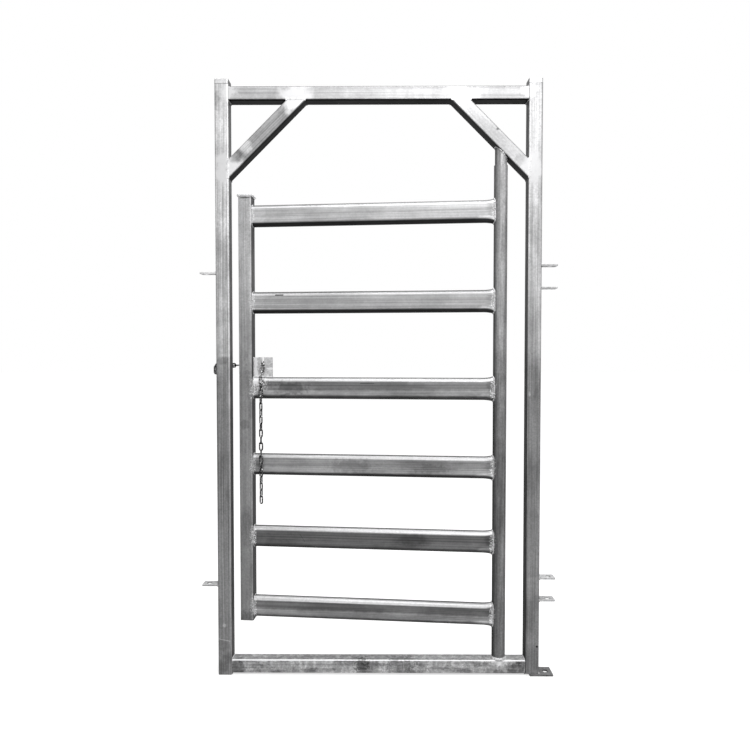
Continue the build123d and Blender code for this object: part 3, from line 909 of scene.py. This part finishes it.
station_share = rail_calc("DIVIDE", rail_calc("MINIMUM", row, back_row), float(stations))
print("rail tree started, rows", rows)

# %% Rail tree: the oval and its crimp
side_steepness = 6.0
near = rail_calc("MULTIPLY", station_share, 2.0, clamp=True)
far = rail_calc("MULTIPLY_ADD", station_share, 2.0, -1.0, clamp=True)
flare = rail_calc("POWER", rail_calc("SUBTRACT", 1.0, near), 2.0)
inset = rail_calc("MULTIPLY", inner, given["Wall"])
half_tall = rail_calc("SUBTRACT", rail_calc("MULTIPLY", given["Tall"], 0.5), inset)
half_tall = rail_calc("MULTIPLY_ADD", flare, given["Spread"], half_tall)
half_deep = rail_calc("SUBTRACT", rail_calc("MULTIPLY", given["Deep"], 0.5), inset)
half_deep = rail_calc("SUBTRACT", half_deep, rail_calc("MULTIPLY", flare, given["Squeeze"]))
angle = rail_calc("MULTIPLY", rail_calc("ADD", on_sheet["X"], 0.5), 2 * math.pi)
sine = rail_calc("SINE", angle)
straight = rail_calc("MINIMUM", rail_calc("MULTIPLY", sine, side_steepness), 1.0)
straight = rail_calc("MAXIMUM", straight, -1.0)
rise = rail_calc("MULTIPLY", straight, rail_calc("SUBTRACT", half_tall, half_deep))
rise = rail_calc("MULTIPLY_ADD", half_deep, sine, rise)
depth = rail_calc("MULTIPLY", half_deep, rail_calc("COSINE", angle))
print("oval ready")

# %% Rail tree: the saddle and the length
merge_distance = 0.00001
pipe_square = rail_calc("MULTIPLY", given["Pipe Radius"], given["Pipe Radius"])
saddle = rail_calc("SQRT", rail_calc("SUBTRACT", pipe_square, rail_calc("MULTIPLY", depth, depth)))
crimp_end = rail_calc("ADD", given["Pipe Radius"], given["Crimp"])
crimp_part = rail_calc("MULTIPLY_ADD", rail_calc("SUBTRACT", crimp_end, saddle), near, saddle)
along_rail = rail_calc("MULTIPLY_ADD", rail_calc("SUBTRACT", given["Length"], crimp_end), far, crimp_part)
rolled_place = add_node(rail_tree, "ShaderNodeCombineXYZ", X=along_rail, Y=depth, Z=rise).outputs[0]
rolled = add_node(rail_tree, "GeometryNodeSetPosition", Geometry=sheet.outputs[0], Position=rolled_place)
closed = add_node(rail_tree, "GeometryNodeMergeByDistance", Geometry=rolled.outputs[0],
                  Distance=merge_distance)
end_tree(rail_tree, closed.outputs[0], given["Material"], made)

# %% Six rails
def outward(mesh):
    """Points the faces of a closed mesh outwards."""
    edit = bmesh.new()
    edit.from_mesh(mesh)
    bmesh.ops.recalc_face_normals(edit, faces=edit.faces)
    edit.to_mesh(mesh)
    edit.free()


empty_mesh = bpy.data.meshes.new("nothing")
for number, height in enumerate(rail_heights, start=1):
    node = f"rail_{number}"
    rail = grown_piece("crimped_" + node, rail_tree, empty_mesh, "leaf", "galvanised_rail", [node],
                       Material=rail_finishes[number - 1])
    outward(rail.data)
    rail.data.transform(Matrix.Translation((0, 0, height)) @ leaf_matrix)

# %% [markdown]
# ## Chain
# A link is a round wire bent to a long loop and butt-welded on one side, where the wire swells a
# little. The tree sweeps a circle along a rounded rectangle and puts a copy on every point it is given.
# The points come from the solid model: each loose island of a chain piece is one link, and its longest
# and shortest axes say how it lies.

# %% Chain tree
wire = 0.005
link_inside_long = 0.0249
link_inside_wide = 0.0075
full_bend = 0.499
weld_start = 0.0035
weld_full = 0.0008
chain_tree, given, made = start_tree("round_wire_chain", [
    ("Long", FLOAT, link_inside_long + wire), ("Wide", FLOAT, link_inside_wide + wire),
    ("Wire", FLOAT, wire), ("Swelling", FLOAT, 0.14),
])
chain_calc = partial(calc, chain_tree)
loop = add_node(chain_tree, "GeometryNodeCurvePrimitiveQuadrilateral", _0=given["Long"], _1=given["Wide"])
bend = add_node(chain_tree, "GeometryNodeFilletCurve", {"mode": "POLY"}, Curve=loop.outputs[0], Count=6,
                Radius=chain_calc("MULTIPLY", given["Wide"], full_bend))
evened = add_node(chain_tree, "GeometryNodeResampleCurve", Curve=bend.outputs[0], Count=44)
on_wire = split_axes(chain_tree, add_node(chain_tree, "GeometryNodeInputPosition").outputs[0])
near_weld = ease(chain_tree, chain_calc("ABSOLUTE", on_wire["X"]), weld_start, weld_full)
bulge = chain_calc("MULTIPLY", near_weld, chain_calc("GREATER_THAN", on_wire["Y"], 0.0))
swollen = chain_calc("MULTIPLY_ADD", bulge, given["Swelling"], 1.0)
swept = add_node(chain_tree, "GeometryNodeSetCurveRadius", Curve=evened.outputs[0], Radius=swollen)
wire_radius = chain_calc("MULTIPLY", given["Wire"], 0.5)
section = add_node(chain_tree, "GeometryNodeCurvePrimitiveCircle", Resolution=10, Radius=wire_radius)
print("wire loop ready")

# %% Chain tree: copies on the points
link_wire = add_node(chain_tree, "GeometryNodeCurveToMesh", Curve=swept.outputs[0],
                     Profile_Curve=section.outputs[0])
if "Scale" in link_wire.inputs:
    thickness = add_node(chain_tree, "GeometryNodeInputRadius")
    chain_tree.links.new(thickness.outputs[0], link_wire.inputs["Scale"])
lie = add_node(chain_tree, "GeometryNodeInputNamedAttribute", {"data_type": "QUATERNION"}, Name="lie")
link_points = add_node(chain_tree, "GeometryNodeMeshToPoints", _0=given["Geometry"])
copies = add_node(chain_tree, "GeometryNodeInstanceOnPoints", Points=link_points.outputs[0],
                  Instance=link_wire.outputs[0], Rotation=lie.outputs[0])
end_tree(chain_tree, copies.outputs[0], given["Material"], made)

# %% Links of the solid model
same_point = 0.000002


def link_turn(along_link, flat):
    """The turn of a link that runs along one way and whose flat side faces another."""
    return Matrix((along_link, flat.cross(along_link), flat)).transposed()


def link_islands(node):
    """Centre and turn of each loose island of a chain piece, from top to bottom and then left to right."""
    edit = bmesh.new()
    edit.from_mesh(nodes[node].data)
    bmesh.ops.remove_doubles(edit, verts=edit.verts, dist=same_point)
    left = set(edit.verts)
    found = []
    while left:
        island = set()
        waiting = [next(iter(left))]
        while waiting:
            vert = waiting.pop()
            if vert in island:
                continue
            island.add(vert)
            waiting += [edge.other_vert(vert) for edge in vert.link_edges]
        left -= island
        corners = np.array(sorted(tuple(vert.co) for vert in island))
        ways = np.linalg.eigh(np.cov((corners - corners.mean(0)).T))[1]
        along_link = Vector(ways[:, 2])
        if along_link.z > 0:
            along_link.negate()
        found.append((Vector(corners.mean(0)), link_turn(along_link, Vector(ways[:, 0]))))
    edit.free()
    return sorted(found, key=lambda link: (-link[0].z, link[0].x, link[0].y))


print("links at the slot:", len(link_islands("slot_chain")))

# %% [markdown]
# ## How the tail hangs
# A loose chain seldom hangs with its links square to each other all the way. It winds up a little, and
# the winding changes along it. The first link stays as modelled, and the next ones ease into a slow
# twist.

# %% Twist of the tail
mean_twist = math.radians(26)
twist_swing = math.radians(13)
crossing = math.radians(66)
twist_per_link = 0.55
links_to_ease = 2
face_on = 0.7


def twisted(index, turn):
    """The turn of one link of the tail with the slow twist in it."""
    along_link = turn @ Vector((1, 0, 0))
    faces_front = abs((turn @ Vector((0, 0, 1))).dot(leaf_front)) > face_on
    modelled = 0 if faces_front else math.pi / 2
    twist = mean_twist + twist_swing * math.sin(twist_per_link * index) + (0 if faces_front else crossing)
    angle_here = modelled + (twist - modelled) * min(index / links_to_ease, 1)
    level_front = (leaf_front - along_link * leaf_front.dot(along_link)).normalized()
    return link_turn(along_link, Matrix.Rotation(angle_here, 3, along_link) @ level_front)


print("twist between", round(math.degrees(mean_twist - twist_swing)), "and",
      round(math.degrees(mean_twist + twist_swing)), "degrees")

# %% Chain pieces
chain_pieces = {
    "chain_anchor_link": "frame", "post_chain_run": "frame", "post_chain_end": "loose_chain",
    "slot_chain": "leaf", "tail_link": "tail_top", "chain_tail": "tail",
}
link_finishes = {"slot_chain": slot_chain_finish, "post_chain_end": shaded_chain_finish}
for node, body in chain_pieces.items():
    links = link_islands(node)
    points_mesh = bpy.data.meshes.new(node + "_points")
    points_mesh.from_pydata([centre for centre, turn in links], [], [])
    lie_data = points_mesh.attributes.new("lie", "QUATERNION", "POINT")
    for index, (centre, turn) in enumerate(links):
        hangs_free = node == "chain_tail" and index > 0
        lie_data.data[index].value = (twisted(index, turn) if hangs_free else turn).to_quaternion()
    grown_piece("round_" + node, chain_tree, points_mesh, body, "chain_steel", [node],
                Material=link_finishes.get(node, chain_finish))

# %% [markdown]
# ## Weld beads
# Every joint of the gate is welded by hand: a row of small overlapping puddles along the seam. The tree
# walks along seam lines, drops a flattened ball every few millimetres, and varies each one with a fixed
# seed. Seams are drawn here as lines of points, in the frame's coordinates or in the leaf's own.

# %% Bead tree
bead_tree, given, made = start_tree(
    "weld_bead", [("Pitch", FLOAT, 0.0045), ("Radius", FLOAT, 0.0038), ("Seed", "NodeSocketInt", 7)]
)
flattened = 0.75
smallest = 0.6
largest = 1.1
seam = add_node(bead_tree, "GeometryNodeMeshToCurve", _0=given["Geometry"])
paced = add_node(bead_tree, "GeometryNodeResampleCurve", {"mode": "LENGTH"}, Curve=seam.outputs[0],
                 Length=given["Pitch"])
seam_way = add_node(bead_tree, "GeometryNodeInputTangent").outputs[0]
heading = add_node(bead_tree, "FunctionNodeAlignRotationToVector", {"axis": "X"}, Vector=seam_way)
puddle = add_node(bead_tree, "GeometryNodeMeshUVSphere", Segments=8, Rings=5, Radius=given["Radius"])
drawn_size = add_node(bead_tree, "FunctionNodeRandomValue", {"data_type": "FLOAT"}, _2=smallest, _3=largest,
                      Seed=given["Seed"]).outputs[1]
puddle_size = add_node(bead_tree, "ShaderNodeCombineXYZ", X=flattened, Y=drawn_size, Z=drawn_size)
puddles = add_node(bead_tree, "GeometryNodeInstanceOnPoints", Points=paced.outputs[0],
                   Instance=puddle.outputs[0], Rotation=heading.outputs[0],
                   Scale=puddle_size.outputs[0])
end_tree(bead_tree, puddles.outputs[0], given["Material"], made)

# %% Seam lines
def bead_piece(name, seams, body, finish, **inputs):
    """Weld beads along seams; a seam is its points and whether it closes."""
    points = []
    edges = []
    for line, closes in seams:
        first = len(points)
        points += [Vector(point) for point in line]
        edges += [(i, i + 1) for i in range(first, len(points) - 1)]
        if closes:
            edges.append((len(points) - 1, first))
    mesh = bpy.data.meshes.new(name + "_seams")
    mesh.from_pydata(points, edges, [])
    return grown_piece(name, bead_tree, mesh, body, "weld_metal", sharp=all_smooth, Material=finish,
                       **inputs)


def ring(middle, radius, level, count=32):
    """Points of a circle round an upright axis, at a level that may change with the angle."""
    turns = [2 * math.pi * i / count for i in range(count)]
    return [(middle.x + radius * math.cos(t), middle.y + radius * math.sin(t), level(t)) for t in turns]


print("seam helpers ready")

# %% Seams of the posts, bars and braces
bead_proud = 0.0015
back = -front - bead_proud
post_side = post_inner + bead_proud
tube_flat = 0.018
corner_room = 0.004
frame_seams = []
for side in (-1, 1):
    for low, high in ((bar_low.z, bar_high.z), (sill_low.z, sill_high.z)):
        behind = [(side * post_side, back, low + corner_room), (side * post_side, back, high - corner_room)]
        frame_seams.append((behind, False))
        for level in (low, high):
            frame_seams.append(([(side * post_inner, y, level) for y in (-tube_flat, tube_flat)], False))
    brace_at_bar = [(side * (post_inner - brace_leg + shift), back, bar_under + bead_proud)
                    for shift in (0, brace_cut)]
    brace_at_post = [(side * post_side, back, bar_under - brace_leg + shift) for shift in (0, brace_cut)]
    frame_seams += [(brace_at_bar, False), (brace_at_post, False)]
print("seams of the tubes:", len(frame_seams))

# %% Seams of the lugs, the hinge and the foot
seam_inset = 0.002
lugs = ("left_upper_lug", "left_lower_lug", "right_upper_lug_top", "right_upper_lug_bottom",
        "right_lower_lug_top", "right_lower_lug_bottom")
for lug in lugs:
    low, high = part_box(lug)
    wall = math.copysign(post_outer, low.x)
    for level in (low.z, high.z):
        frame_seams.append(([(wall, low.y + seam_inset, level), (wall, high.y - seam_inset, level)], False))
stub_low, stub_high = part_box("top_hinge_stub")
stub_radius = (stub_high.x - stub_low.x) / 2
slope_middle = stub_high.z - stub_radius
collar_bead_radius = 0.0255
collar_level = sill_high.z + bead_proud
frame_seams.append((ring(hinge, stub_radius, lambda t: slope_middle - stub_radius * math.cos(t)), True))
frame_seams.append((ring(hinge, collar_bead_radius, lambda t: collar_level), True))
foot_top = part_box("foot_plate")[1].z
foot_flat = 0.020
foot_back = [(x, -front, foot_top) for x in (post_inner + seam_inset, post_outer - seam_inset)]
foot_side = [(post_outer, y, foot_top) for y in (-foot_flat, foot_flat)]
frame_seams += [(foot_back, False), (foot_side, False)]
print("frame seams:", len(frame_seams))

# %% Beads of the frame
tack_reach = 0.010
tack_lines = (-post_outer - 0.0085, -post_outer - 0.0025)
anchor_low, anchor_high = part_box("chain_anchor_link")
anchor_middle = (anchor_low + anchor_high) / 2
anchor_seams = []
for x in tack_lines:
    upright_line = [(x, anchor_middle.y, anchor_middle.z + lift) for lift in (-tack_reach, tack_reach)]
    anchor_seams.append((upright_line, False))
bead_piece("anchor_tack_weld", anchor_seams, "frame", tack_finish, Radius=0.0056)
bead_piece("frame_welds", frame_seams, "frame", weld_finish)

# %% [markdown]
# ## Welds ground flush
# Where a brace meets the bar or a post, the rounded tube corner leaves a groove across the front. It is
# filled with weld, ground almost flush and sprayed. A low crown swept along the groove is enough, so
# each one is a strip of faces with its own section.

# %% Flush welds
crown_section = (
    (-0.0012, 0.0), (0.001, 0.0003), (0.004, 0.0004), (0.007, 0.0003), (0.01, 0.0), (0.004, -0.006),
)
flush_runs = []
for side in (-1, 1):
    bar_end = side * (post_inner - brace_leg)
    post_end = bar_under - brace_leg
    over_bar = [Vector((bar_end + side * shift, front, bar_under)) for shift in (0, brace_cut)]
    over_post = [Vector((side * post_inner, front, post_end + shift)) for shift in (0, brace_cut)]
    flush_runs += [(over_bar, Vector((0, 0, 1))), (over_post, Vector((side, 0, 0)))]
flush_points = []
flush_faces = []
section_count = len(crown_section)
for run_ends, over in flush_runs:
    first = len(flush_points)
    for run_end in run_ends:
        flush_points += [run_end + over * shift + Vector((0, -crown, 0)) for shift, crown in crown_section]
    second = first + section_count
    for i in range(section_count):
        following = (i + 1) % section_count
        flush_faces.append((first + i, first + following, second + following, second + i))
    flush_faces.append(tuple(range(second - 1, first - 1, -1)))
    flush_faces.append(tuple(range(second, second + section_count)))
flush_mesh = bpy.data.meshes.new("flush_welds")
flush_mesh.from_pydata(flush_points, [], flush_faces)
flush_mesh.materials.append(flush_finish)
outward(flush_mesh)
place_piece("flush_welds", flush_mesh, "frame")

# %% [markdown]
# ## Beads of the leaf
# Each rail is welded all round, to the stile as an oval and to the pipe as a taller, narrower one that
# follows the saddle. The latch plate has beads on both faces, and the stile's cap has one thick bead
# round its edge.

# %% Seams of the rails
bead_sunk = 0.0005
stile_round = rail_face - bead_sunk
stile_lift = rail_tall / 2 - rail_face
pipe_round = rail_face - crimp_squeeze
pipe_lift = rail_tall / 2 + crimp_spread - pipe_round
oval_points = 48
on_side = 1e-6
leaf_seams = []
for height in rail_heights:
    at_stile = []
    at_pipe = []
    for t in [2 * math.pi * i / oval_points for i in range(oval_points)]:
        half = math.copysign(1, math.sin(t)) if abs(math.sin(t)) > on_side else 0
        w = height + stile_lift * half + stile_round * math.sin(t)
        at_stile.append(in_leaf(rail_end, stile_round * math.cos(t), w))
        v = pipe_round * math.cos(t)
        w = height + pipe_lift * half + pipe_round * math.sin(t)
        at_pipe.append(in_leaf(math.sqrt(pipe_radius ** 2 - v * v) + bead_sunk, v, w))
    leaf_seams += [(at_stile, True), (at_pipe, True)]
print("rail seams:", len(leaf_seams))

# %% Seams of the latch plate and the stile's cap
plate_width = 0.071
plate_edge = rail_end - plate_width + seam_inset
plate_ends = (plate_low.z + seam_inset, plate_high.z - seam_inset)
for v in (-plate_face, plate_face):
    upright_seam = [in_leaf(rail_end, v, w) for w in plate_ends]
    level_seam = [in_leaf(u, v, plate_low.z) for u in (plate_edge, rail_end)]
    leaf_seams += [(upright_seam, False), (level_seam, False)]
cap_half = tube / 2 - bead_sunk
square_corners = [(-1, -1), (1, -1), (1, 1), (-1, 1)]
cap_level = cap_under + 0.0007
cap_ring = [in_leaf(stile_middle + cap_half * a, cap_half * b, cap_level) for a, b in square_corners]
bead_piece("stile_cap_weld", [(cap_ring, True)], "leaf", cap_weld_finish, Radius=0.0058)
bead_piece("leaf_welds", leaf_seams, "leaf", weld_finish)

# %% [markdown]
# ## Floor and background
# The gate stands on a plain pale floor under a white background. The camera and reflections see the
# background as white and the floor as a little darker near the gate, and the floor takes the shadow.

# %% Floor
def seen_share(tree):
    """1 for rays that look at the background directly or in a reflection."""
    path = add_node(tree, "ShaderNodeLightPath").outputs
    mirrored = calc(tree, "MAXIMUM", path["Is Glossy Ray"], path["Is Transmission Ray"])
    return calc(tree, "MAXIMUM", path["Is Camera Ray"], mirrored)


floor_reach = 40.0
floor_level = -0.001
floor_mesh = bpy.data.meshes.new("floor")
floor_corners = [(a * floor_reach, b * floor_reach, floor_level) for a, b in square_corners]
floor_mesh.from_pydata(floor_corners, [], [(0, 1, 2, 3)])
floor = bpy.data.objects.new("floor", floor_mesh)
bpy.context.scene.collection.objects.link(floor)
floor_finish = bpy.data.materials.new("pale_floor")
floor_finish.use_nodes = True
floor_tree = floor_finish.node_tree
floor_tree.nodes.remove(floor_tree.nodes["Principled BSDF"])
floor_place = add_node(floor_tree, "ShaderNodeTexCoord").outputs["Object"]
from_gate = vector_calc(floor_tree, "LENGTH", floor_place)["Value"]
glow_level = ease(floor_tree, from_gate, 1.5, 7.0, 0.72, 0.96)
paint = add_node(floor_tree, "ShaderNodeBsdfDiffuse", Color=(0.7, 0.7, 0.7, 1))
glow = add_node(floor_tree, "ShaderNodeEmission", Color=(1, 1, 1, 1),
                Strength=times(floor_tree, seen_share(floor_tree), glow_level))
both = add_node(floor_tree, "ShaderNodeAddShader", _0=paint.outputs[0], _1=glow.outputs[0])
floor_tree.links.new(both.outputs[0], floor_tree.nodes["Material Output"].inputs[0])
floor_mesh.materials.append(floor_finish)
print("floor", floor.name)

# %% White background
fill_level = 0.1
world = bpy.data.worlds.new("white_studio")
bpy.context.scene.world = world
world.use_nodes = True
background = world.node_tree.nodes["Background"]
background.inputs["Color"].default_value = (1, 1, 1, 1)
strength = calc(world.node_tree, "MULTIPLY_ADD", seen_share(world.node_tree), 1 - fill_level, fill_level)
world.node_tree.links.new(strength, background.inputs["Strength"])
print("world", world.name, "fill", fill_level)

# %% [markdown]
# ## Lamps
# Three soft boxes, as in a studio: a wide one high in front, a little to the right, which lights the
# top more than the foot, one straight above for the upper sides of the rails, and a weak one behind for
# the back, which is kept out of reflections.

# %% Lamps
def soft_box(name, place, target, wide, high, watts):
    """A rectangular area lamp that faces the target."""
    lamp = bpy.data.lights.new(name, "AREA")
    lamp.shape = "RECTANGLE"
    lamp.size = wide
    lamp.size_y = high
    lamp.energy = watts
    holder = bpy.data.objects.new(name, lamp)
    holder.location = place
    holder.rotation_euler = (Vector(target) - Vector(place)).to_track_quat("-Z", "Y").to_euler()
    bpy.context.scene.collection.objects.link(holder)
    return holder


front_box = soft_box("front_box", (0.35, -2.1, 3.3), (0.1, 0, 1.5), 1.6, 1.0, 60)
top_box = soft_box("top_box", (0.2, -0.3, 5.2), (0, 0, 1.0), 2.4, 2.0, 150)
rear_box = soft_box("rear_box", (0, 3.4, 2.5), (0, 0, 1.1), 1.2, 0.6, 12)
rear_box.visible_glossy = False
print("lamps:", front_box.name, top_box.name, rear_box.name)

# %% [markdown]
# ## Finish
# Colours are shown as they are, without a film look.

# %% Finish
bpy.context.scene.view_settings.view_transform = "Standard"
